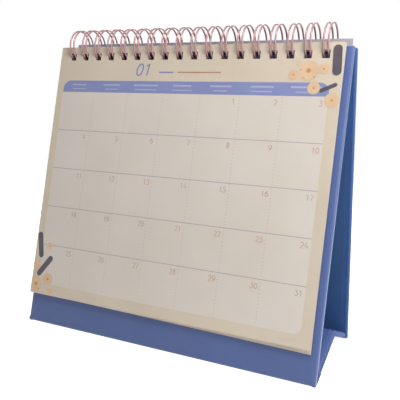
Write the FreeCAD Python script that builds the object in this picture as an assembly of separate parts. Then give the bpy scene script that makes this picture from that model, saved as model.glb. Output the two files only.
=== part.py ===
# Desk calendar: a wire-bound page block on a folding easel case.
#
# The case is four greyboards wrapped in one sheet of laminated cover paper and lined inside: a
# front panel, two base boards that rise to a ridge, and a back panel.  One twin-loop wire binds
# the free top edges of both panels with the pages.
#
# Frame: +X is the width (to the reader's right), -Y faces the reader, +Z is up.
# The origin is on the table, at the middle of the footprint.

import FreeCAD, Part
import math
import os

# ---- driving dimensions, millimetres and degrees --------------------------------------------
case_width = 165.0          # all four boards, with their paper
panel_length = 154.0        # front and back panel, top edge to bottom fold
lean = 11.4                 # each panel's slope from the vertical
ridge_height = 12.1         # underside of the base's ridge, above the table

core_thickness = 2.45       # greyboard
cover_thickness = 0.25      # laminated cover paper
lining_thickness = 0.15     # paper glued over the inside
edge_radius = 1.0           # how round the wrapped edges are
turn_in = 14.0              # cover paper folded round the edge onto the inside
lining_inset = 3.5          # lining stops this far from the edge
fold_radius = 1.1           # outside radius of the paper at the bottom folds
heel_setback = 0.95         # the paper lies on the table for the core's thickness less this
hinge_gap = 5.5             # then bare paper rises this far, in line with the base board
crease_lap = 2.0            # the foot paper runs this far up under the base board
crease_clearance = 0.1      # between that paper and the end of the base board
ridge_gap = 5.5             # bare paper over the ridge, between the two base boards
nub_length = 1.8            # turned-in paper bulges at the ends of the bottom folds
nub_bulge = 0.35

page_width = 161.0
page_foot = 14.0            # the pages are this much shorter than the panel
page_thickness = 2.4        # the block of month leaves
page_shift = -1.6           # the pages sit this far left of the case's middle
sheet_thickness = 0.5       # leaves already turned over to the back
page_gap = 0.1              # between the pages and the front panel
sheet_tilt = 0.3            # the turned leaves hang this much steeper than the back panel

loop_count = 18
loop_pitch = 25.4 / 3       # three holes to the inch
hole_size = 4.0
page_hole_margin = 5.6      # page top edge to hole centre
board_hole_margin = 5.4     # board top edge to hole centre
wire_diameter = 0.9
wire_sides = 4              # the round wire is a square prism, to keep the many loops light
wire_radius = 9.2           # wire centreline, as closed
finger_half_width = 1.18    # half the spacing of a loop's two wires
seam_offset = 0.85          # the cross wires lie this far forward of the wire's lowest line
seam_bend_radius = 0.6      # corners where the wire runs across to the next loop
tip_clearance = 0.12        # between the loop tips and the cross wires

board_inset = 0.8           # inside face of a panel to the wire's axis
board_rise = 6.6            # the wire's lowest line up to the panels' top edge
page_rise = 7.4             # the wire's lowest line up to the pages' top edge
sheet_reach = 1.5           # inside face of the turned leaves to the back of the wire
sheet_hole_drop = 4.3       # wire axis down to the turned leaves' hole centres

# ---- derived dimensions ---------------------------------------------------------------------
LEAN = math.radians(lean)
SIN, COS = math.sin(LEAN), math.cos(LEAN)

board_thickness = cover_thickness * 2 + core_thickness + lining_thickness
fold_thickness = cover_thickness + lining_thickness
foot_flat = core_thickness - heel_setback
page_height = panel_length - page_foot
board_top = wire_radius - board_rise                # wire axis down to the panels' top edge
page_top = wire_radius - page_rise                  # wire axis down to the pages' top edge
sheet_inset = wire_radius - sheet_reach             # wire axis to the turned leaves' inside
panel_out = board_inset + board_thickness           # outside face to the wire's axis
panel_end = board_top + panel_length                # bottom end of a panel, along its slope
corner_z = fold_radius * (1 + SIN)                  # height of the panel's outside bottom corner
axis_z = corner_z + panel_end * COS - panel_out * SIN
corner_y = panel_end * SIN + panel_out * COS
heel_y = corner_y - fold_radius * COS - foot_flat
slope_length = math.hypot(heel_y, ridge_height)
base_angle = math.degrees(math.atan2(ridge_height, heel_y))
BASE_COS = heel_y / slope_length
BASE_SIN = ridge_height / slope_length
base_length = slope_length - hinge_gap              # one half of the base, crease to ridge
crease_y = base_length * BASE_COS
crease_z = hinge_gap * BASE_SIN

page_in = panel_out + page_gap
page_left = page_shift - page_width / 2
loop_xs = [page_shift + (i - (loop_count - 1) / 2) * loop_pitch for i in range(loop_count)]

X_AXIS = FreeCAD.Vector(1, 0, 0)
Y_AXIS = FreeCAD.Vector(0, 1, 0)


def point(x, y, z):
    return FreeCAD.Vector(x, y, z)


def block(x0, x1, y0, y1, z0, z1):
    return Part.makeBox(x1 - x0, y1 - y0, z1 - z0, point(x0, y0, z0))


def on_front(shape, slope=lean):
    """Panel axes (across, up the slope, outward) to the front panel, about the wire's axis."""
    placed = shape.copy()
    turn = FreeCAD.Rotation(X_AXIS, 90 - slope)
    placed.Placement = FreeCAD.Placement(point(0, 0, axis_z), turn)
    return placed


def on_base(shape):
    """Panel axes (across, from the ridge to the foot, outward) to the front base board."""
    placed = shape.copy()
    turn = FreeCAD.Rotation(X_AXIS, 180 + base_angle)
    placed.Placement = FreeCAD.Placement(point(0, 0, ridge_height), turn)
    return placed


def to_back(shape):
    return shape.mirror(point(0, 0, 0), Y_AXIS)


def across(profile, half_width):
    """A face drawn at x = 0, extruded across the case from -half_width."""
    face = profile.copy()
    face.translate(point(-half_width, 0, 0))
    return face.extrude(point(2 * half_width, 0, 0))


def outline(points):
    """A face in the plane x = 0 through (y, z) points."""
    corners = [point(0, y, z) for y, z in points]
    return Part.Face(Part.makePolygon(corners + corners[:1]))


def rounded_slab(half_width, y0, y1, z0, z1, radius, round_top):
    """A board with its side edges rounded, and its top edge as well where that is wrapped."""
    slab = block(-half_width, half_width, y0, y1, z0, z1)
    edges = []
    for edge in slab.Edges:
        middle = edge.CenterOfMass
        at_side = abs(abs(middle.x) - half_width) < 1e-6 and abs(middle.z - (z0 + z1) / 2) > 1e-6
        at_top = round_top and abs(middle.y - y1) < 1e-6 and abs(middle.x) < 1e-6
        if at_side and abs(middle.y - (y0 + y1) / 2) < 1e-6 or at_top:
            edges.append(edge)
    return slab.makeFillet(radius, edges)


def holes(centre_y, z0, z1):
    """The row of square binding holes, as cutters in panel axes."""
    half = hole_size / 2
    return [block(x - half, x + half, centre_y - half, centre_y + half, z0 - 1, z1 + 1)
            for x in loop_xs]


def wrapped_board(y0, y1, z_out, top_edge):
    """One greyboard, the cover paper round it and its lining, in panel axes."""
    half = case_width / 2
    z_cover = z_out - cover_thickness
    z_core = z_cover - core_thickness
    z_turn = z_core - cover_thickness
    z_in = z_turn - lining_thickness
    core_top = y1 - cover_thickness if top_edge else y1
    core_radius = edge_radius - cover_thickness
    core = rounded_slab(half - cover_thickness, y0, core_top, z_core, z_cover, core_radius, top_edge)
    envelope = rounded_slab(half, y0, y1, z_turn, z_out, edge_radius, top_edge)
    window_half = half - turn_in
    window_top = y1 - turn_in if top_edge else y1
    window = block(-window_half, window_half, y0, window_top, z_turn, z_core)
    cover = envelope.cut(core).cut(window)
    lining_half = half - lining_inset
    lining_top = y1 - lining_inset if top_edge else y1
    lining = block(-lining_half, lining_half, y0, lining_top, z_in, z_turn).fuse(window)
    return core, cover, lining.removeSplitter()


def make_panel():
    """Front panel: greyboard, cover paper and lining, punched for the wire."""
    top = -board_top
    parts = wrapped_board(-panel_end, top, panel_out, True)
    punches = holes(top - board_hole_margin, board_inset, panel_out)
    return [on_front(part.cut(punches)) for part in parts]


def make_base_board():
    """The front half of the base: greyboard, cover paper under it and lining over it."""
    foot_end = base_length - crease_lap - crease_clearance
    return [on_base(part) for part in wrapped_board(ridge_gap / 2, foot_end, 0.0, False)]


def make_ridge_fold():
    """Bare cover paper over the ridge, from one base board to the other."""
    reach_y, reach_z = ridge_gap / 2 * BASE_COS, ridge_height - ridge_gap / 2 * BASE_SIN
    rise_y, rise_z = fold_thickness * BASE_SIN, fold_thickness * BASE_COS
    strip = outline([(-reach_y, reach_z), (0, ridge_height), (reach_y, reach_z),
                     (reach_y + rise_y, reach_z + rise_z), (0, ridge_height + fold_thickness / BASE_COS),
                     (-reach_y - rise_y, reach_z + rise_z)])
    return across(strip, case_width / 2)


def make_front_fold():
    """Bare cover paper round the bottom of the front panel and up to its base board."""
    outer = (-corner_y, corner_z)
    inner = (-corner_y + fold_thickness * COS, corner_z - fold_thickness * SIN)
    centre = (outer[0] + fold_radius * COS, outer[1] - fold_radius * SIN)

    def round_point(radius, angle):
        return point(0, centre[0] + radius * math.cos(angle), centre[1] + radius * math.sin(angle))

    inner_radius = fold_radius - fold_thickness
    half_turn = (1.5 * math.pi + math.pi - LEAN) / 2
    heel_in = fold_thickness * math.tan(math.radians(base_angle) / 2)
    lap_y, lap_z = -crease_y + crease_lap * BASE_COS, crease_z + crease_lap * BASE_SIN
    path = [
        Part.Arc(point(0, *outer), round_point(fold_radius, half_turn),
                 round_point(fold_radius, 1.5 * math.pi)).toShape(),
        Part.makeLine(round_point(fold_radius, 1.5 * math.pi), point(0, -heel_y, 0)),
        Part.makeLine(point(0, -heel_y, 0), point(0, lap_y, lap_z)),
        Part.makeLine(point(0, lap_y, lap_z),
                      point(0, lap_y - fold_thickness * BASE_SIN, lap_z + fold_thickness * BASE_COS)),
        Part.makeLine(point(0, lap_y - fold_thickness * BASE_SIN, lap_z + fold_thickness * BASE_COS),
                      point(0, -heel_y - heel_in, fold_thickness)),
        Part.makeLine(point(0, -heel_y - heel_in, fold_thickness),
                      round_point(inner_radius, 1.5 * math.pi)),
        Part.Arc(round_point(inner_radius, 1.5 * math.pi), round_point(inner_radius, half_turn),
                 point(0, *inner)).toShape(),
        Part.makeLine(point(0, *inner), point(0, *outer)),
    ]
    half = case_width / 2
    strip = across(Part.Face(Part.Wire(path)), half)
    nub_radius = fold_radius + nub_bulge
    table = block(-case_width, case_width, -case_width, 0, -case_width, 0)
    nubs = [Part.makeCylinder(nub_radius, nub_length, point(x, *centre), X_AXIS).cut(table)
            for x in (-half, half - nub_length)]
    return strip.fuse(nubs)


def make_page_block():
    top = -page_top
    leaves = block(page_left, page_left + page_width, top - page_height, top,
                   page_in, page_in + page_thickness)
    return on_front(leaves.cut(holes(top - page_hole_margin, page_in, page_in + page_thickness)))


def make_turned_leaves():
    """Leaves already turned over: they hang from the wire behind the back panel."""
    top = page_hole_margin - sheet_hole_drop
    leaves = block(page_left, page_left + page_width, top - page_height, top,
                   sheet_inset, sheet_inset + sheet_thickness)
    leaves = leaves.cut(holes(-sheet_hole_drop, sheet_inset, sheet_inset + sheet_thickness))
    return to_back(on_front(leaves, lean - sheet_tilt))


def on_ring(x, angle, along=0.0):
    """A point on the closed wire: angle up the front from straight down, then a tangent step."""
    y = -wire_radius * math.sin(angle) - along * math.cos(angle)
    z = axis_z - wire_radius * math.cos(angle) + along * math.sin(angle)
    return point(x, y, z)


def make_wire():
    """The twin-loop wire: one length that runs round each loop, back, and across to the next."""
    bend = seam_bend_radius
    tip = (seam_offset + wire_diameter + tip_clearance + finger_half_width) / wire_radius
    seam = (seam_offset - bend) / wire_radius
    top = math.pi + (tip + seam) / 2
    edges = []
    for i, x in enumerate(loop_xs):
        left, right = x - finger_half_width, x + finger_half_width
        start, end = seam + 2 * math.pi, tip
        for wire_x, first, last in ((left, start, end), (right, end, start)):
            edges.append(Part.Arc(on_ring(wire_x, first), on_ring(wire_x, top),
                                  on_ring(wire_x, last)).toShape())
            if wire_x == left:
                edges.append(Part.Arc(on_ring(left, tip), on_ring(x, tip, -finger_half_width),
                                      on_ring(right, tip)).toShape())
        if i + 1 < len(loop_xs):
            following = loop_xs[i + 1] - finger_half_width
            half = bend * math.sqrt(0.5)
            edges.append(Part.Arc(on_ring(right, seam), on_ring(right + bend - half, seam, half),
                                  on_ring(right + bend, seam, bend)).toShape())
            edges.append(Part.makeLine(on_ring(right + bend, seam, bend),
                                       on_ring(following - bend, seam, bend)))
            edges.append(Part.Arc(on_ring(following - bend, seam, bend),
                                  on_ring(following - bend + half, seam, half),
                                  on_ring(following, seam)).toShape())
    spine = Part.Wire(edges)
    first = spine.OrderedEdges[0]
    start, along = first.valueAt(first.FirstParameter), first.tangentAt(first.FirstParameter)
    outward = along.cross(X_AXIS).normalize() * (wire_diameter / 2)
    corners = [start + FreeCAD.Rotation(along, 360 * (i + 0.5) / wire_sides).multVec(outward)
               for i in range(wire_sides)]
    return spine.makePipeShell([Part.makePolygon(corners + corners[:1])], True, False)


def main():
    board, cover, lining = make_panel()
    base_board, base_cover, base_lining = make_base_board()
    fold = make_front_fold().cut([board, cover]).removeSplitter()
    nodes = {
        "front_board": board,
        "front_cover": cover,
        "front_lining": lining,
        "front_fold": fold,
        "front_base_board": base_board,
        "front_base_cover": base_cover,
        "front_base_lining": base_lining,
        "ridge_fold": make_ridge_fold(),
        "twin_loop_wire": make_wire(),
        "page_block": make_page_block(),
        "turned_leaves": make_turned_leaves(),
    }
    for name in [name for name in nodes if name.startswith("front_")]:
        nodes[name.replace("front_", "back_")] = to_back(nodes[name])

    os.makedirs("parts", exist_ok=True)
    for name, shape in nodes.items():
        shape.exportStep(os.path.join("parts", name + ".step"))
        box = shape.BoundBox
        print("%-18s solids %d valid %s volume %9.1f  y %7.2f %7.2f  z %7.2f %7.2f" % (
            name, len(shape.Solids), shape.isValid(), shape.Volume,
            box.YMin, box.YMax, box.ZMin, box.ZMax))


main()
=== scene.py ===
import math

import bmesh
import bpy
from mathutils import Matrix, Vector


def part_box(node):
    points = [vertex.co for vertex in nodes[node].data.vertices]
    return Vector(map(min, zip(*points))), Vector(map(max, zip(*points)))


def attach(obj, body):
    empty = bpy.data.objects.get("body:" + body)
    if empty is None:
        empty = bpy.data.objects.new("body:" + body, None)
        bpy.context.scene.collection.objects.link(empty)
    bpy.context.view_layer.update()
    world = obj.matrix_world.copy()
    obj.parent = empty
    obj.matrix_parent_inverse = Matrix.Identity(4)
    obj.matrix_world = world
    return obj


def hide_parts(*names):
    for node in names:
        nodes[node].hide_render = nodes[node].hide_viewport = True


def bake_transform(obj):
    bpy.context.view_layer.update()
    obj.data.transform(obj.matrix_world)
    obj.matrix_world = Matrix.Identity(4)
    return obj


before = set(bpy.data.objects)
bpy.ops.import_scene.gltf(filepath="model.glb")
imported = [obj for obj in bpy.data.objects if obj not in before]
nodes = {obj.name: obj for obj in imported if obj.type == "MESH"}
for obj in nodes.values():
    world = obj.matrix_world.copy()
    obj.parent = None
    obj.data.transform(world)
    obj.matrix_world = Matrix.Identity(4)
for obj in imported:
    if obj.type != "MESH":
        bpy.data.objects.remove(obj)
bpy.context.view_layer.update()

# ---- the calendar's own sizes: millimetres, and angles written in degrees --------------------
LEAN = math.radians(11.4)            # both panels, from the vertical
TURNED_LEAN = math.radians(11.1)     # the turned leaves, which hang from the wire
CASE_HALF = 82.5                     # half the case's width
BOARD_IN, BOARD_OUT = 0.8, 3.9       # a panel's two faces, from the wire's axis
BOARD_TOP, BOARD_END = 2.6, 156.6    # a panel's two ends, down from the wire's axis
LINING_PROUD = 0.15                  # the inner lining stands up from the turned-in paper
LINING_INSET = 3.5                   # and stops this far from the edges
EDGE_ROUND = 1.05                    # the wrapped paper's radius over a board's edge
DRAWN_WIDTH = 3.4                    # the wrapped paper dips softly this near the side edges
RIDGE_Z = 12.1                       # the ridge where the two base strips meet
FOOT_FLAT = 1.5                      # the fold lies on the table for this far
HINGE_GAP = 5.5                      # then bare paper rises in line with the base board
BOARD_THICK = 3.1                    # a base strip, wrapped and lined
FOLD_THICK = 0.4                     # the bare paper between two boards
FOLD_ROUND = 1.1                     # the bare paper's outer radius at the foot
CREASE_LAP = 2.0                     # the bare paper goes on past the crease for this far
RIDGE_GROOVE = 2.75                  # a pressed groove beside the ridge, from its middle
PAGE_LEFT, PAGE_RIGHT = -82.1, 78.9
PAGE_TOP, PAGE_HEIGHT = 1.8, 140.0   # its top, down from the wire's axis
PAGE_BACK, PAGE_FRONT = 4.0, 6.4     # the block's two faces, out from the wire's axis
LEAF_COUNT, LEAF_THICK = 12, 0.13    # the leaves behind the top one
TOP_LEAF_THICK = 0.16
SAGGING_LEAVES, LEAF_SAG = 6, 2.1    # the rearmost leaves, which drop this far at the right
TURNED_TOP, TURNED_BOTTOM = -1.3, 138.7
TURNED_THICK = 0.14
HOLE = 4.0                           # the side of a square binding hole
PAGE_HOLE_ROW, BOARD_HOLE_ROW, TURNED_HOLE_ROW = 7.4, 8.0, 4.3
LOOPS = [-1.6 + (i - 8.5) * 25.4 / 3 for i in range(18)]    # three to the inch
WIRE_RADIUS, WIRE_THICK = 9.2, 0.9   # a loop's radius is to the middle of its wire
FINGER_HALF = 1.18                   # half the spacing of a loop's two wires
SEAM_OFFSET, SEAM_BEND = 0.85, 0.6   # the crossings between loops, and their bends
TIP_GAP = 0.12                       # between a loop's tip and the crossings

wire_low, wire_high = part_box("twin_loop_wire")
AXIS_Z = (wire_low[2] + wire_high[2]) / 2 * 1000
SIN, COS = math.sin(LEAN), math.cos(LEAN)
CORNER_Z = FOLD_ROUND * (1 + SIN)    # the panel's outer bottom corner
CORNER_Y = BOARD_END * SIN + BOARD_OUT * COS
HEEL_Y = CORNER_Y - FOLD_ROUND * COS - FOOT_FLAT
SLOPE = math.hypot(HEEL_Y, RIDGE_Z)  # heel to ridge
BASE_COS, BASE_SIN = HEEL_Y / SLOPE, RIDGE_Z / SLOPE
BASE_LENGTH = SLOPE - HINGE_GAP      # crease to ridge
BASE_END = BASE_LENGTH - 2.1         # the base board's flat faces stop short of the crease


def panel_place(side, slope=LEAN):
    """Across, down from the wire and out of the panel, to the calendar's frame."""
    def place(x, down, out):
        y = -math.sin(slope) * down - math.cos(slope) * out
        z = AXIS_Z - math.cos(slope) * down + math.sin(slope) * out
        return Vector((x, side * y, z)) / 1000
    return place


def base_place(side):
    """Across, from the ridge to the foot and up from the underside, to the calendar's frame."""
    def place(x, along, up):
        y = -BASE_COS * along - BASE_SIN * up
        z = RIDGE_Z - BASE_SIN * along + BASE_COS * up
        return Vector((x, side * y, z)) / 1000
    return place


FRONT, BACK = 1, -1
on_page = panel_place(FRONT)


# ---- materials ------------------------------------------------------------------------------
def linear(code):
    """An sRGB hex colour as the linear colour that the shaders take."""
    parts = [int(code[i:i + 2], 16) / 255 for i in (1, 3, 5)]
    return [c / 12.92 if c <= 0.04045 else ((c + 0.055) / 1.055) ** 2.4 for c in parts] + [1.0]


def add(tree, kind, settings=None, **links):
    """Adds a node.  A link's value is another node's output, or a plain value for that input.

    A link's name is the input's own name, or i and its number where names repeat.
    """
    made = tree.nodes.new(kind)
    for key, value in (settings or {}).items():
        setattr(made, key, value)
    for key, value in links.items():
        socket = made.inputs[int(key[1:])] if key[0] == "i" and key[1:].isdigit() \
            else made.inputs[key.replace("_", " ")]
        if isinstance(value, bpy.types.NodeSocket):
            tree.links.new(value, socket)
        else:
            socket.default_value = value
    return made


def new_finish(name):
    """An empty node material, and the object's own coordinates in metres."""
    material = bpy.data.materials.new(name)
    material.use_nodes = True
    tree = material.node_tree
    tree.nodes.clear()
    where = add(tree, "ShaderNodeTexCoord").outputs["Object"]
    return material, tree, where


def drawn_edge(tree, where, depth):
    """The soft fall of wrapped paper near the case's two side edges, where it is drawn tight."""
    split = add(tree, "ShaderNodeSeparateXYZ", Vector=where)
    away = add(tree, "ShaderNodeMath", {"operation": "ABSOLUTE"}, i0=split.outputs["X"])
    near = add(tree, "ShaderNodeMapRange", Value=away.outputs[0],
               From_Min=(CASE_HALF - DRAWN_WIDTH) / 1000, From_Max=CASE_HALF / 1000)
    fall = add(tree, "ShaderNodeMath", {"operation": "POWER"}, i0=near.outputs[0], i1=2.0)
    return add(tree, "ShaderNodeBump", {"invert": True}, Height=fall.outputs[0], Strength=1.0,
               Distance=depth / 1000).outputs[0]


def paper(name, tone, deep, mottle, grain, roughness, relief, shift=0.35, drawn=0.0, **shader):
    """Paper or board: two close tones in soft clouds (mottle, mm) and a fine fibre (grain, mm).

    Real fibre is finer than that, and is drawn as coarse as it needs to be to show.  It also gives
    the relief (mm) and a little unevenness to the shine.  Shift is how much the fibre moves the
    tone, and drawn is how far (mm) the paper seems pulled down at the case's side edges.
    """
    material, tree, where = new_finish(name)
    clouds = add(tree, "ShaderNodeTexNoise", Vector=where, Scale=1000 / mottle, Detail=3.0)
    fibre = add(tree, "ShaderNodeTexNoise", Vector=where, Scale=1000 / grain, Detail=2.0)
    both = add(tree, "ShaderNodeMath", {"operation": "MULTIPLY_ADD"}, i0=fibre.outputs["Fac"],
               i1=shift, i2=clouds.outputs["Fac"])
    # noise lies mostly between 0.35 and 0.65, and the two tones share that stretch
    spread = add(tree, "ShaderNodeMapRange", Value=both.outputs[0], From_Min=0.35 + shift * 0.35,
                 From_Max=0.65 + shift * 0.65)
    colour = add(tree, "ShaderNodeMix", {"data_type": "RGBA"}, Factor=spread.outputs[0],
                 i6=linear(deep), i7=linear(tone))
    rough = add(tree, "ShaderNodeMapRange", Value=fibre.outputs["Fac"], To_Min=roughness - 0.05,
                To_Max=roughness + 0.05)
    bump = add(tree, "ShaderNodeBump", Height=fibre.outputs["Fac"], Strength=0.6,
               Distance=relief / 1000)
    if drawn:
        tree.links.new(drawn_edge(tree, where, drawn), bump.inputs["Normal"])
    surface = add(tree, "ShaderNodeBsdfPrincipled", Base_Color=colour.outputs[2],
                  Roughness=rough.outputs[0], Normal=bump.outputs[0], **shader)
    add(tree, "ShaderNodeOutputMaterial", Surface=surface.outputs[0])
    return material


# Periwinkle art paper under a satin film, wrapped tight round the boards: a soft, wide shine
# that brightens down the side edges, where the paper is drawn over them.
laminated_paper = paper("laminated_cover_paper", "#4b5f94", "#45598d", 30.0, 0.5, 0.42, 0.012,
                        drawn=0.8, Specular_IOR_Level=0.2, Coat_Weight=0.6, Coat_Roughness=0.28)
# The same paper where it is turned in: its film is thinner, and its blue is painted deeper and
# bluer as painted shade for the inside of the case.
turned_in_shade_paper = paper("turned_in_cover_paper_painted_shade", "#3f6099", "#3a5990", 24.0, 0.5, 0.6, 0.012,
                        Specular_IOR_Level=0.25)
# The paper pasted over the base: nearly the cover's own blue.
base_paper = paper("base_lining_paper", "#4d6199", "#475a91", 24.0, 0.5, 0.65, 0.012,
                   Specular_IOR_Level=0.1)
# Deeper blue uncoated paper glued over the insides: dull, with a faint fibre.
lining_paper = paper("blue_lining_paper", "#355b8e", "#305385", 22.0, 0.6, 0.6, 0.015)
# Compressed recycled board: grey, flecked and rough where it is cut.
greyboard = paper("grey_board", "#9a948b", "#7d776f", 1.8, 0.35, 0.9, 0.05, shift=0.8)
# Coated offset paper, tinted warm cream by the print all over it.
leaf_paper = paper("cream_offset_paper", "#d5c9b8", "#cdbfad", 35.0, 0.4, 0.55, 0.006)
# The unprinted backs of the leaves: cool white offset paper.
plain_paper = paper("white_offset_paper", "#d0ccd4", "#cbc7d0", 30.0, 0.4, 0.6, 0.006)
# Offset inks on that paper: flat fields that let the paper's fibre through.
panel_ink = paper("pale_panel_ink", "#d9d1c9", "#d3cac1", 40.0, 0.4, 0.55, 0.006)
header_ink = paper("periwinkle_ink", "#868ebd", "#7d85b4", 20.0, 0.4, 0.5, 0.006)
label_ink = paper("pale_lilac_ink", "#b0b3cf", "#a8abc8", 8.0, 0.3, 0.5, 0.004)
line_ink = paper("mauve_line_ink", "#a79da6", "#9d939c", 12.0, 0.3, 0.5, 0.004)
dot_ink = paper("mauve_dot_ink", "#b3abb2", "#aaa2a9", 12.0, 0.3, 0.5, 0.004)
date_ink = paper("rose_brown_ink", "#b98b75", "#b0816c", 6.0, 0.3, 0.5, 0.004)
peach_ink = paper("peach_ink", "#dcc0a2", "#d3b593", 9.0, 0.3, 0.5, 0.005)
charcoal_ink = paper("charcoal_ink", "#57515a", "#4a454d", 7.0, 0.3, 0.45, 0.005)
orange_ink = paper("orange_ink", "#d9924f", "#cf8544", 3.0, 0.3, 0.5, 0.004)


def coated_wire():
    """Soft steel wire in rose-gold enamel: satin, a little uneven along its length.

    The enamel's skin is finer than 0.25 mm, and is drawn that coarse so that it shows.
    """
    material, tree, where = new_finish("rose_gold_enamelled_wire")
    drift = add(tree, "ShaderNodeTexNoise", Vector=where, Scale=1000 / 3.0, Detail=2.0)
    colour = add(tree, "ShaderNodeMix", {"data_type": "RGBA"}, Factor=drift.outputs["Fac"],
                 i6=linear("#a0777a"), i7=linear("#b48d90"))
    skin = add(tree, "ShaderNodeTexNoise", Vector=where, Scale=1000 / 0.25, Detail=1.0)
    rough = add(tree, "ShaderNodeMapRange", Value=drift.outputs["Fac"], To_Min=0.24, To_Max=0.38)
    bump = add(tree, "ShaderNodeBump", Height=skin.outputs["Fac"], Strength=0.15,
               Distance=0.005 / 1000)
    surface = add(tree, "ShaderNodeBsdfPrincipled", Base_Color=colour.outputs[2], Metallic=0.45,
                  Roughness=rough.outputs[0], Normal=bump.outputs[0])
    add(tree, "ShaderNodeOutputMaterial", Surface=surface.outputs[0])
    return material


wire_enamel = coated_wire()


# ---- mesh making ----------------------------------------------------------------------------
class Sketch:
    """Collects the corners and faces of one piece, in metres."""

    def __init__(self):
        self.points, self.faces = [], []

    def add(self, points, faces):
        """Adds corners, and faces that count those corners from nought."""
        start = len(self.points)
        self.points += points
        self.faces += [[start + i for i in face] for face in faces]

    def tube(self, rings, ends=True):
        """Closes a row of equal rings of points into a tube with flat ends."""
        count = len(rings[0])
        faces = []
        for r in range(len(rings) - 1):
            for i in range(count):
                j = (i + 1) % count
                faces.append([r * count + i, r * count + j, (r + 1) * count + j,
                              (r + 1) * count + i])
        if ends:
            last = (len(rings) - 1) * count
            faces.append(list(range(count))[::-1])
            faces.append([last + i for i in range(count)])
        self.add([p for ring in rings for p in ring], faces)

    def piece(self, name, material, body=None, finish=None, smooth=None):
        """Makes the object; smooth is the sharpest angle, in degrees, that is shaded round."""
        mesh = bpy.data.meshes.new(name)
        mesh.from_pydata([tuple(p) for p in self.points], [], self.faces)
        shaped = bmesh.new()
        shaped.from_mesh(mesh)
        bmesh.ops.recalc_face_normals(shaped, faces=shaped.faces)
        shaped.to_mesh(mesh)
        shaped.free()
        mesh.materials.append(material)
        if smooth:
            mesh.polygons.foreach_set("use_smooth", [True] * len(mesh.polygons))
            mesh.set_sharp_from_angle(angle=math.radians(smooth))
        made = bpy.data.objects.new(name, mesh)
        bpy.context.scene.collection.objects.link(made)
        if body:
            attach(made, body)
        return made


def punched_slab(sketch, place, left, right, top, bottom, back, front, hole_row, rows=()):
    """A sheet or board with the row of square binding holes cut right through it.

    Rows are extra cuts across it, which break up its long faces.
    """
    half = HOLE / 2
    xs = sorted([left, right] + [x + side for x in LOOPS for side in (-half, half)])
    downs = sorted([top, hole_row - half, hole_row + half, bottom] + list(rows))
    solid = {(i, j) for i in range(len(xs) - 1) for j in range(len(downs) - 1)
             if not (i % 2 == 1 and abs((downs[j] + downs[j + 1]) / 2 - hole_row) < half)}
    index, points, faces = {}, [], []

    def corner(i, j, face):
        """The number of a corner on the back (0) or the front (1), which is made only once."""
        key = (i, j, face)
        if key not in index:
            index[key] = len(points)
            points.append(place(xs[i], downs[j], (back, front)[face]))
        return index[key]

    for i, j in sorted(solid):
        for face in (0, 1):
            faces.append([corner(i, j, face), corner(i + 1, j, face), corner(i + 1, j + 1, face),
                          corner(i, j + 1, face)])
        # a wall stands on each side that has no neighbour beyond it
        for a, b, beyond in (((i, j), (i + 1, j), (i, j - 1)),
                             ((i + 1, j), (i + 1, j + 1), (i + 1, j)),
                             ((i + 1, j + 1), (i, j + 1), (i, j + 1)),
                             ((i, j + 1), (i, j), (i - 1, j))):
            if beyond not in solid:
                faces.append([corner(*a, 0), corner(*b, 0), corner(*b, 1), corner(*a, 1)])
    sketch.add(points, faces)


def round_edges(piece, chosen, radius, segments=5):
    """Rounds the edges whose two ends pass the test, and keeps the flats flat to the light."""
    shaped = bmesh.new()
    shaped.from_mesh(piece.data)
    edges = [e for e in shaped.edges if chosen(e.verts[0].co * 1000, e.verts[1].co * 1000)
             and len(e.link_faces) == 2 and e.calc_face_angle(0) > 0.5]
    bmesh.ops.bevel(shaped, geom=edges, offset=radius / 1000, segments=segments, profile=0.5,
                    affect="EDGES", clamp_overlap=False)
    shaped.to_mesh(piece.data)
    shaped.free()
    piece.data.polygons.foreach_set("use_smooth", [True] * len(piece.data.polygons))
    piece.data.set_sharp_from_angle(angle=math.radians(40))
    even = piece.modifiers.new("even_light", "WEIGHTED_NORMAL")
    even.keep_sharp = True


# ---- the case -------------------------------------------------------------------------------
def wrapped_panel(side, name, body):
    """The cover paper round a panel's board, its edges rounded where it turns over them."""
    sketch = Sketch()
    punched_slab(sketch, panel_place(side), -CASE_HALF, CASE_HALF, BOARD_TOP, BOARD_END,
                 BOARD_IN + LINING_PROUD, BOARD_OUT, BOARD_HOLE_ROW, rows=(30, 70, 110, 140))
    panel = sketch.piece(name, laminated_paper, finish="cover_paper")
    # slots 1 and 2: the turned-in paper in its painted-shade blue, and the raw board in the walls
    # of the holes
    panel.data.materials.append(turned_in_shade_paper)
    panel.data.materials.append(greyboard)
    top_z = AXIS_Z - COS * (BOARD_TOP + 0.3)
    below_holes_z = AXIS_Z - COS * (BOARD_HOLE_ROW + HOLE)
    # from inside, the turned-in tone of painted shade covers only the front panel's face, and the
    # back's edges too
    turned_depth = 0.05 if side == FRONT else 2.0

    def at_side_or_top(a, b):
        return min(abs(a.x), abs(b.x)) > CASE_HALF - 0.01 or min(a.z, b.z) > top_z

    round_edges(panel, at_side_or_top, EDGE_ROUND)
    for face in panel.data.polygons:
        middle = face.center * 1000
        out = COS * -side * middle.y - SIN * (AXIS_Z - middle.z)
        if out < BOARD_IN + LINING_PROUD + turned_depth:
            face.material_index = 1
        across_panel = abs(COS * -side * face.normal.y + SIN * face.normal.z) < 0.3
        by_holes = below_holes_z < middle.z < top_z - 1.0 and abs(middle.x) < CASE_HALF - 2.0
        if across_panel and by_holes:
            face.material_index = 2
    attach(panel, body)
    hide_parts(body + "_cover")


wrapped_panel(FRONT, "front_panel_paper", "front")
wrapped_panel(BACK, "back_panel_paper", "back")


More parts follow.
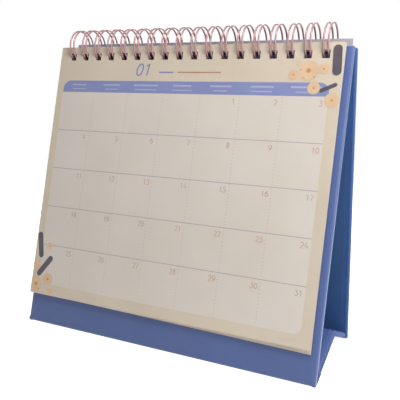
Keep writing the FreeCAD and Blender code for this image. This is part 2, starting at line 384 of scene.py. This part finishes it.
def wrapped_base(side, name, body):
    """The paper round a base board, carried on at full thickness to the ridge."""
    place = base_place(side)
    sketch = Sketch()
    wrapped = BOARD_THICK - LINING_PROUD
    # the outline's points are along from the ridge, and up from the underside
    under = [(0.02, 0.0), (RIDGE_GROOVE - 0.45, 0.0), (RIDGE_GROOVE, 0.18),
             (RIDGE_GROOVE + 0.45, 0.0), (12.0, 0.0), (20.0, 0.0), (BASE_END, 0.0)]
    over = [(BASE_END + 1.6, 0.5), (BASE_END + 0.5, wrapped - 0.35), (BASE_END, wrapped),
            (20.0, wrapped), (12.0, wrapped), (RIDGE_GROOVE + 0.45, wrapped),
            (RIDGE_GROOVE, BOARD_THICK - 0.4), (1.6, BOARD_THICK - 0.3),
            (0.1, BOARD_THICK - 0.42), (-1.0, BOARD_THICK - 0.62)]
    profile = under + over
    rings = []
    # both ends of the strip are rounded: at x, the outline is drawn in by inset
    for x, inset in ((-CASE_HALF, 1.0), (-CASE_HALF + 0.13, 0.5), (-CASE_HALF + 0.5, 0.13),
                     (-CASE_HALF + 1.0, 0.0), (CASE_HALF - 1.0, 0.0), (CASE_HALF - 0.5, 0.13),
                     (CASE_HALF - 0.13, 0.5), (CASE_HALF, 1.0)):
        ring = []
        for i, (along, up) in enumerate(profile):
            up = up + inset if i < len(under) else up - inset
            # no point crosses the middle plane, where the two strips meet
            ring.append(place(x, max(along, 0.02 - up * BASE_SIN / BASE_COS), up))
        rings.append(ring)
    sketch.tube(rings)
    base = sketch.piece(name, laminated_paper, body, "cover_paper", smooth=35)
    base.data.materials.append(base_paper)
    for face in base.data.polygons:
        if abs(face.normal.x) > 0.5:
            face.material_index = 1
    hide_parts(body + "_cover", "ridge_fold")

    lining = Sketch()
    top = [(BASE_END, BOARD_THICK), (20.0, BOARD_THICK), (12.0, BOARD_THICK),
           (RIDGE_GROOVE + 0.55, BOARD_THICK), (RIDGE_GROOVE, BOARD_THICK - 0.2),
           (1.6, BOARD_THICK - 0.12), (0.1, BOARD_THICK - 0.25), (-1.1, BOARD_THICK - 0.45)]
    low = [(along, up - 0.5) for along, up in reversed(top)]
    half = CASE_HALF - LINING_INSET
    lining.tube([[place(x, max(along, 0.03 - up * BASE_SIN / BASE_COS), up)
                  for along, up in top + low] for x in (-half, half)])
    made = lining.piece(name.replace("paper", "lining_sheet"), base_paper, body, "lining_paper",
                        smooth=35)
    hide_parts(body + "_lining")


wrapped_base(FRONT, "front_base_paper", "front_base")
wrapped_base(BACK, "back_base_paper", "back_base")


def bottom_fold(side, name, panel):
    """Bare paper round the bottom of a panel and up, in line with the base board, to its end."""
    outer = (-CORNER_Y, CORNER_Z)
    centre = (outer[0] + FOLD_ROUND * COS, outer[1] - FOLD_ROUND * SIN)
    turns = [math.pi - LEAN + (math.pi / 2 + LEAN) * i / 10 for i in range(11)]

    def arc(radius):
        return [(centre[0] + radius * math.cos(t), centre[1] + radius * math.sin(t)) for t in turns]

    # up from the heel, with points close together where the crease bends
    steps = [1.2, 2.6, 4.0, 4.9, 5.3, 5.7, 6.1, 6.8, HINGE_GAP + CREASE_LAP]
    low = arc(FOLD_ROUND) + [(-HEEL_Y, 0.0)]
    low += [(-HEEL_Y + s * BASE_COS, s * BASE_SIN) for s in steps]
    # the inner face turns a little further out, so that the paper stays as thick at the heel
    set_out = FOLD_THICK * math.tan(math.atan2(BASE_SIN, BASE_COS) / 2)
    high = arc(FOLD_ROUND - FOLD_THICK) + [(-HEEL_Y - set_out, FOLD_THICK)]
    high += [(-HEEL_Y + s * BASE_COS - FOLD_THICK * BASE_SIN, s * BASE_SIN + FOLD_THICK * BASE_COS)
             for s in steps]
    profile = low + high[::-1]
    sketch = Sketch()
    sketch.tube([[Vector((x, side * y, z)) / 1000 for y, z in profile]
                 for x in (-CASE_HALF, -CASE_HALF + 20, 0, CASE_HALF - 20, CASE_HALF)])
    # at each end the turned-in paper swells into a small round bulge: in from the end, and radius
    for end in (-1, 1):
        rings = []
        for inward, radius in ((2.2, 0.95), (1.9, 1.3), (1.4, 1.43), (0.7, 1.45), (0.25, 1.36),
                               (0.0, 1.05)):
            ring = []
            for i in range(20):
                turn = 2 * math.pi * i / 20
                y, z = centre[0] + radius * math.cos(turn), centre[1] + radius * math.sin(turn)
                ring.append(Vector((end * (CASE_HALF - inward), side * y, max(z, 0.0))) / 1000)
            rings.append(ring)
        sketch.tube(rings)
    fold = sketch.piece(name, laminated_paper, finish="cover_paper", smooth=35)
    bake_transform(fold)
    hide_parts(panel + "_fold")


bottom_fold(FRONT, "front_bottom_fold_paper", "front")
bottom_fold(BACK, "back_bottom_fold_paper", "back")

for name, node in nodes.items():
    if name.endswith("_board"):
        finish = greyboard
    elif name.endswith("_lining"):
        finish = lining_paper
    elif name in ("page_block", "turned_leaves"):
        finish = leaf_paper
    elif name == "twin_loop_wire":
        finish = wire_enamel
    else:
        finish = laminated_paper
    for material_slot in node.material_slots:
        material_slot.material = finish


# ---- the wire -------------------------------------------------------------------------------
def on_ring(x, angle, along=0.0):
    """A point of the closed wire: angle up the front from straight down, then a tangent step."""
    y = -WIRE_RADIUS * math.sin(angle) - along * math.cos(angle)
    z = AXIS_Z - WIRE_RADIUS * math.cos(angle) + along * math.sin(angle)
    return Vector((x, y, z))


def wire_line():
    """The one length of wire: round each loop, back, and across to the next."""
    tip = (SEAM_OFFSET + WIRE_THICK + TIP_GAP + FINGER_HALF) / WIRE_RADIUS
    seam = (SEAM_OFFSET - SEAM_BEND) / WIRE_RADIUS
    line = []
    for i, x in enumerate(LOOPS):
        round_trip = [seam + 2 * math.pi + (tip - seam - 2 * math.pi) * k / 44 for k in range(45)]
        line += [on_ring(x - FINGER_HALF, a) for a in round_trip]
        line += [on_ring(x - FINGER_HALF * math.cos(math.pi * k / 8), tip,
                         -FINGER_HALF * math.sin(math.pi * k / 8)) for k in range(1, 8)]
        line += [on_ring(x + FINGER_HALF, a) for a in reversed(round_trip)]
        if i + 1 < len(LOOPS):
            here, there = x + FINGER_HALF, LOOPS[i + 1] - FINGER_HALF
            quarter = [math.pi / 2 * k / 4 for k in range(1, 5)]
            line += [on_ring(here + SEAM_BEND * (1 - math.cos(q)), seam,
                             SEAM_BEND * math.sin(q)) for q in quarter]
            line += [on_ring(there - SEAM_BEND * (1 - math.sin(q)), seam,
                             SEAM_BEND * math.cos(q)) for q in [0.0] + quarter[:-1]]
    return line


def binding_wire():
    """The round wire, swept along its line without a twist."""
    line = wire_line()
    sides, radius = 10, WIRE_THICK / 2
    tangents = []
    for i in range(len(line)):
        step = line[min(i + 1, len(line) - 1)] - line[max(i - 1, 0)]
        tangents.append(step.normalized())
    normal = tangents[0].cross(Vector((1, 0, 0))).normalized()
    rings = []
    for i, (point, tangent) in enumerate(zip(line, tangents)):
        if i:
            normal = (tangents[i - 1].rotation_difference(tangent) @ normal)
            normal = (normal - tangent * normal.dot(tangent)).normalized()
        other = tangent.cross(normal)
        rings.append([(point + normal * radius * math.cos(2 * math.pi * k / sides)
                       + other * radius * math.sin(2 * math.pi * k / sides)) / 1000
                      for k in range(sides)])
    sketch = Sketch()
    sketch.tube(rings)
    wire = sketch.piece("binding_wire", wire_enamel, "front", "wire", smooth=60)
    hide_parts("twin_loop_wire")


binding_wire()


# ---- the leaves -----------------------------------------------------------------------------
def month_leaves():
    """The leaves behind the top one, a little out of line; the last few hang low on the right."""
    sketch = Sketch()
    step = (PAGE_FRONT - PAGE_BACK - 0.2) / LEAF_COUNT
    for i in range(LEAF_COUNT):
        back = PAGE_BACK + 0.02 + i * step
        stray = 0.16 * math.sin(i * 2.4)
        longer = 0.2 * math.sin(i * 1.7 + 0.6) - 0.3
        sag = LEAF_SAG / (PAGE_RIGHT - PAGE_LEFT) if i < SAGGING_LEAVES else 0.0

        def hung(x, down, out):
            return on_page(x, down + sag * (x - PAGE_LEFT) * (down - PAGE_TOP) / PAGE_HEIGHT, out)
        punched_slab(sketch, hung, PAGE_LEFT + 0.2 + stray, PAGE_RIGHT - 0.12 + stray,
                     PAGE_TOP + 0.1, PAGE_TOP + PAGE_HEIGHT + longer, back, back + LEAF_THICK,
                     PAGE_HOLE_ROW)
    leaves = sketch.piece("month_leaves", leaf_paper, "pages", "page_stock")
    leaves.data.materials.append(plain_paper)
    for face in leaves.data.polygons:
        if face.normal.y > 0.5:
            face.material_index = 1
    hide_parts("page_block")
    top = Sketch()
    punched_slab(top, on_page, PAGE_LEFT, PAGE_RIGHT, PAGE_TOP, PAGE_TOP + PAGE_HEIGHT,
                 PAGE_FRONT - TOP_LEAF_THICK, PAGE_FRONT, PAGE_HOLE_ROW)
    top.piece("top_month_leaf", leaf_paper, "pages", "page_stock")


month_leaves()


def turned_leaves():
    """The leaves already turned: they hang behind the back panel, printed side to the case."""
    place = panel_place(BACK, TURNED_LEAN)
    sketch = Sketch()
    # each leaf's stray across, and how far out from the wire's axis it hangs
    for i, (stray, back) in enumerate(((0.0, 7.7), (0.2, 7.88), (-0.15, 8.06))):
        punched_slab(sketch, place, PAGE_LEFT + stray, PAGE_RIGHT + stray, TURNED_TOP,
                     TURNED_BOTTOM - 0.3 * i, back, back + TURNED_THICK, TURNED_HOLE_ROW)
    leaves = sketch.piece("leaves_turned_back", plain_paper, "turned_leaves", "page_stock")
    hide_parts("turned_leaves")


turned_leaves()


# ---- the print on the top leaf, in millimetres from its top left corner ----------------------
LAYER = 0.03                         # each level of ink lies this far above the one below it
COLUMN, ROW = 21.64, 21.7
GRID_LEFT, GRID_RIGHT, GRID_TOP, GRID_BOTTOM = 4.4, 155.9, 25.5, 134.0
GRID_ROUND = 4.0                     # the grid's lower corners
HEADER_TOP, HEADER_ROUND = 19.0, 4.5
TITLE_LINE = 14.3                    # the bars beside the month's number stand here
LABEL_LINE, SMALL_LABEL_LINE = 21.3, 23.6
DOT_PITCH, DOT_RADIUS, DOTS = 1.65, 0.25, 65
FIRST_DAY = 4                        # the column, from nought, in which the month starts
DATE_MIDDLE, DATE_TOP = 22.9, 1.95   # a date in the first column, and its drop in the cell
DATE_HEIGHT, DATE_LINE = 2.6, 0.24


def printed(x, down, level):
    """A point of the print, which lies on the leaf's face at level nought."""
    return on_page(PAGE_LEFT + x, PAGE_TOP + down, PAGE_FRONT + level * LAYER)


def field(sketch, outline, level):
    """A flat patch of ink."""
    low = [printed(x, down, level - 1) for x, down in outline]
    high = [printed(x, down, level) for x, down in outline]
    count = len(outline)
    faces = [list(range(count)), list(range(count, 2 * count))]
    faces += [[i, (i + 1) % count, count + (i + 1) % count, count + i] for i in range(count)]
    sketch.add(low + high, faces)


def stroke(sketch, line, width, level, closed=False):
    """A line of ink along the points."""
    count = len(line)
    rings = []
    for i, (x, down) in enumerate(line):
        before = line[i - 1] if i or closed else line[i]
        after = line[(i + 1) % count] if i + 1 < count or closed else line[i]
        dx, dd = after[0] - before[0], after[1] - before[1]
        size = math.hypot(dx, dd)
        px, pd = -dd / size * width / 2, dx / size * width / 2
        rings.append([printed(x + px, down + pd, level - 1), printed(x - px, down - pd, level - 1),
                      printed(x - px, down - pd, level), printed(x + px, down + pd, level)])
    if closed:
        rings.append(rings[0])
    sketch.tube(rings, ends=not closed)


def oval(x, down, rx, rd, start=0.0, end=360.0, count=20):
    """Points round an ellipse, anticlockwise from the right."""
    turns = [math.radians(start + (end - start) * i / count) for i in range(count + 1)]
    return [(x + rx * math.cos(t), down - rd * math.sin(t)) for t in turns]


def rounded(left, right, top, bottom, top_round, bottom_round):
    """A rectangle with its upper and lower corners rounded."""
    points = []
    for x, down, radius, start in ((right, top, top_round, 0), (left, top, top_round, 90),
                                   (left, bottom, bottom_round, 180),
                                   (right, bottom, bottom_round, 270)):
        if radius == 0:
            points.append((x, down))
            continue
        cx = x - radius if x == right else x + radius
        cd = down + radius if down == top else down - radius
        points += oval(cx, cd, radius, radius, start, start + 90, 6)
    return points


def kept_on_leaf(outline):
    """The part of a patch that is on the leaf."""
    for axis, limit, sign in ((0, 0.0, 1), (0, PAGE_RIGHT - PAGE_LEFT, -1), (1, 0.0, 1),
                              (1, PAGE_HEIGHT, -1)):
        kept = []
        for i, here in enumerate(outline):
            last = outline[i - 1]
            a, b = (last[axis] - limit) * sign, (here[axis] - limit) * sign
            if (a < 0) != (b < 0):
                share = a / (a - b)
                kept.append(tuple(last[k] + (here[k] - last[k]) * share for k in (0, 1)))
            if b >= 0:
                kept.append(here)
        outline = kept
    return outline


def capsule(x0, down0, x1, down1, width):
    """A long rounded bar from one point to the other."""
    angle = math.degrees(math.atan2(-(down1 - down0), x1 - x0))
    half = width / 2
    return (oval(x1, down1, half, half, angle - 90, angle + 90, 10)
            + oval(x0, down0, half, half, angle + 90, angle + 270, 10))


# Each figure is one or more strokes in a cell one unit high.
FIGURES = {
    "0": [oval(0.31, 0.5, 0.28, 0.5)],
    "1": [[(0.12, 0.2), (0.36, 0.0), (0.36, 1.0)]],
    "2": [oval(0.3, 0.28, 0.26, 0.28, 165, -40, 10) + [(0.03, 1.0), (0.6, 1.0)]],
    "3": [[(0.05, 0.0), (0.54, 0.0), (0.26, 0.4)] + oval(0.26, 0.69, 0.3, 0.31, 80, -150, 12)],
    "4": [[(0.42, 0.0), (0.03, 0.7), (0.66, 0.7)], [(0.5, 0.48), (0.5, 1.0)]],
    "5": [[(0.55, 0.0), (0.14, 0.0), (0.09, 0.42)] + oval(0.25, 0.69, 0.31, 0.31, 110, -150, 12)],
    "6": [[(0.46, 0.0)] + oval(0.32, 0.66, 0.29, 0.5, 140, 178, 6),
          oval(0.31, 0.69, 0.28, 0.31)],
    "7": [[(0.03, 0.0), (0.58, 0.0), (0.2, 1.0)]],
    "8": [oval(0.31, 0.25, 0.22, 0.25), oval(0.31, 0.74, 0.28, 0.26)],
    "9": [[(0.16, 1.0)] + oval(0.3, 0.34, 0.29, 0.5, -40, -2, 6), oval(0.31, 0.31, 0.28, 0.31)],
}


def figures(sketch, text, x, down, height, width, slant=0.0):
    """Figures centred across x, from down to down + height."""
    pitch = 0.76
    start = x - height * (pitch * len(text) - 0.14) / 2
    for k, sign in enumerate(text):
        for line in FIGURES[sign]:
            closed = line[0] == line[-1] or math.dist(line[0], line[-1]) < 1e-6
            shape = [(start + height * (k * pitch + px + slant * (1 - pd)), down + height * pd)
                     for px, pd in (line[:-1] if closed else line)]
            stroke(sketch, shape, width, 3, closed)


def header_and_panel():
    """The pale panel under the dates, and the header band with the month's number over it."""
    panel = Sketch()
    field(panel, rounded(GRID_LEFT, GRID_RIGHT, GRID_TOP, GRID_BOTTOM, 0, GRID_ROUND), 1)
    panel.piece("grid_panel_print", panel_ink, "pages", "page_stock")
    header = Sketch()
    field(header, rounded(GRID_LEFT, GRID_RIGHT, HEADER_TOP, GRID_TOP, HEADER_ROUND, 0), 1)
    figures(header, "01", 55.5, 9.8, 6.2, 0.75, slant=0.2)
    stroke(header, [(65.5, TITLE_LINE), (74.0, TITLE_LINE)], 0.75, 1)
    header.piece("header_print", header_ink, "pages", "page_stock")


def rows_and_columns():
    """Thin lines between the weeks, and dotted ones between the days."""
    lines, dots = Sketch(), Sketch()
    for row in range(1, 5):
        down = GRID_TOP + ROW * row
        stroke(lines, [(GRID_LEFT, down), (GRID_RIGHT, down)], 0.3, 2)
    lines.piece("row_lines_print", line_ink, "pages", "page_stock")
    for column in range(1, 7):
        x = GRID_LEFT + COLUMN * column
        for k in range(DOTS):
            down = GRID_TOP + 1.0 + DOT_PITCH * k
            field(dots, oval(x, down, DOT_RADIUS, DOT_RADIUS, 0, 270, 3), 2)
    dots.piece("column_dots_print", dot_ink, "pages", "page_stock")


def day_labels():
    """Two plain bars, one under the other, over each column where a day's name would stand."""
    labels = Sketch()
    for column, (upper, lower) in enumerate(((9, 8), (10, 8), (14, 13), (10, 11), (11, 7),
                                             (11, 10), (14, 9))):
        x = GRID_LEFT + COLUMN * (column + 0.5)
        for length, down, width in ((upper, LABEL_LINE, 0.8), (lower, SMALL_LABEL_LINE, 0.5)):
            field(labels, capsule(x - length / 2, down, x + length / 2, down, width), 2)
    labels.piece("day_label_bars_print", label_ink, "pages", "page_stock")


def month_dates():
    """The dates, each in its cell, and the long bar of the title in the same ink."""
    dates = Sketch()
    stroke(dates, [(76.5, TITLE_LINE), (101.0, TITLE_LINE)], 0.6, 2)
    for day in range(1, 32):
        row, column = divmod(day - 1 + FIRST_DAY, 7)
        figures(dates, str(day), DATE_MIDDLE + COLUMN * column,
                GRID_TOP + DATE_TOP + ROW * row, DATE_HEIGHT, DATE_LINE)
    dates.piece("dates_print", date_ink, "pages", "page_stock")


def corner_pebbles():
    """Plain pebbles, bars and dots in two corners of the leaf.

    A pebble or dot is given by x, down and its radius, and a bar by its two ends and its width.
    """
    peach, charcoal, orange = Sketch(), Sketch(), Sketch()
    for x, down, radius in ((145.3, 13.4, 4.7), (138.4, 15.4, 2.5), (152.4, 12.6, 2.5),
                            (148.6, 21.6, 3.0), (157.6, 27.2, 3.5), (139.8, 9.8, 1.2),
                            (2.4, 124.4, 2.7), (9.4, 113.0, 2.1), (3.4, 134.8, 4.2),
                            (11.0, 131.2, 3.3), (13.4, 137.4, 1.8)):
        field(peach, kept_on_leaf(oval(x, down, radius, radius, 0, 350, 35)), 4)
    peach.piece("peach_pebbles_print", peach_ink, "pages", "page_stock")
    for bar in ((157.8, 3.4, 158.4, 13.6, 4.2), (152.2, 22.8, 158.4, 20.0, 1.9),
                (2.2, 107.4, 4.4, 118.4, 3.2), (4.6, 128.6, 11.2, 119.8, 3.2)):
        field(charcoal, kept_on_leaf(capsule(*bar)), 3)
    charcoal.piece("charcoal_bars_print", charcoal_ink, "pages", "page_stock")
    for x, down, radius in ((145.3, 13.4, 1.1), (141.6, 13.0, 0.35), (148.2, 16.4, 0.4),
                            (143.2, 16.6, 0.35), (152.4, 12.6, 0.5), (138.4, 15.4, 0.45),
                            (148.6, 21.6, 0.55), (157.6, 27.2, 0.6), (3.4, 134.8, 1.0),
                            (11.0, 131.2, 0.8), (9.4, 113.0, 0.4), (5.6, 137.4, 0.35)):
        field(orange, kept_on_leaf(oval(x, down, radius, radius, 0, 330, 11)), 5)
    orange.piece("orange_dots_print", orange_ink, "pages", "page_stock")


header_and_panel()
rows_and_columns()
day_labels()
month_dates()
corner_pebbles()


# ---- floor, light and camera ----------------------------------------------------------------
FLOOR_LIFT = 0.88                    # the lamps bring the rest of the floor's white
FLOOR_HALF = 40.0                    # metres: the floor runs out of sight on every side
ROOM_LIGHT = 0.14                    # what the white room gives the calendar, where 1 is white


def white_rays(tree):
    """One for the rays that meet the studio's white surroundings: seen, mirrored or let through."""
    path = add(tree, "ShaderNodeLightPath")
    mirrored = add(tree, "ShaderNodeMath", {"operation": "MAXIMUM"},
                   i0=path.outputs["Is Glossy Ray"], i1=path.outputs["Is Transmission Ray"])
    return add(tree, "ShaderNodeMath", {"operation": "MAXIMUM"},
               i0=path.outputs["Is Camera Ray"], i1=mirrored.outputs[0]).outputs[0]


def pale_floor():
    """A pale floor that stays white to the eye, and still takes the object's shadow."""
    material, tree, where = new_finish("pale_painted_floor")
    cloud = add(tree, "ShaderNodeTexNoise", Vector=where, Scale=2.0)
    tone = add(tree, "ShaderNodeMix", {"data_type": "RGBA"}, Factor=cloud.outputs["Fac"],
               i6=linear("#f2f2f2"), i7=linear("#f6f6f6"))
    surface = add(tree, "ShaderNodeBsdfDiffuse", Color=tone.outputs[2])
    lift = add(tree, "ShaderNodeMath", {"operation": "MULTIPLY"}, i0=white_rays(tree),
               i1=FLOOR_LIFT)
    glow = add(tree, "ShaderNodeEmission", Strength=lift.outputs[0])
    both = add(tree, "ShaderNodeAddShader", i0=surface.outputs[0], i1=glow.outputs[0])
    add(tree, "ShaderNodeOutputMaterial", Surface=both.outputs[0])
    sketch = Sketch()
    half = FLOOR_HALF
    sketch.add([Vector((x, y, z)) for x, y in ((-half, -half), (half, -half), (half, half),
                                               (-half, half)) for z in (-0.02, -0.0002)],
               [[0, 2, 4, 6], [1, 3, 5, 7], [0, 2, 3, 1], [2, 4, 5, 3], [4, 6, 7, 5], [6, 0, 1, 7]])
    floor = sketch.piece("floor", material)


pale_floor()


def studio():
    """A white room that gives only a little light, and four soft lamps round the calendar."""
    world = bpy.data.worlds.new("studio_white")
    bpy.context.scene.world = world
    world.use_nodes = True
    tree = world.node_tree
    tree.nodes.clear()
    level = add(tree, "ShaderNodeMapRange", Value=white_rays(tree), To_Min=ROOM_LIGHT, To_Max=1.0)
    sky = add(tree, "ShaderNodeBackground", Color=(1, 1, 1, 1), Strength=level.outputs[0])
    add(tree, "ShaderNodeOutputWorld", Surface=sky.outputs[0])
    aim = Vector((0, 0, 0.08))
    # each lamp's place and side are in metres, and its power is in watts
    for name, place, size, power in (("key_softbox", (0.19, -0.17, 0.42), 0.12, 1.06),
                                     ("front_softbox", (0.38, -0.62, 0.3), 0.12, 0.6),
                                     ("side_softbox", (0.55, -0.12, 0.26), 0.36, 1.8),
                                     ("rear_softbox", (-0.2, 0.6, 0.45), 0.4, 2.6)):
        lamp = bpy.data.lights.new(name, "AREA")
        lamp.size = size
        lamp.energy = power
        lamp.color = (1.0, 0.985, 0.965)
        held = bpy.data.objects.new(name, lamp)
        bpy.context.scene.collection.objects.link(held)
        held.location = place
        toward = aim - Vector(place)
        held.rotation_euler = toward.to_track_quat("-Z", "Y").to_euler()


studio()


def viewpoint():
    """Looks a little down on the calendar, from in front and to the right."""
    turn, dip, tilt = math.radians(25.72), math.radians(8.235), math.radians(2.16)
    across = Vector((math.cos(turn), math.sin(turn), 0))
    ahead = Vector((-math.sin(turn) * math.cos(dip), math.cos(turn) * math.cos(dip),
                    -math.sin(dip)))
    down = ahead.cross(across)
    right = across * math.cos(tilt) - down * math.sin(tilt)
    up = -(across * math.sin(tilt) + down * math.cos(tilt))
    lens = bpy.data.cameras.new("camera")
    lens.sensor_width = 36
    lens.lens = 51.80
    camera = bpy.data.objects.new("camera", lens)
    bpy.context.scene.collection.objects.link(camera)
    matrix = Matrix((right, up, -ahead)).transposed().to_4x4()
    matrix.translation = Vector((138.293, -275.940, 117.443)) / 1000
    camera.matrix_world = matrix
    bpy.context.scene.camera = camera


viewpoint()
bpy.context.scene.view_settings.view_transform = "Standard"
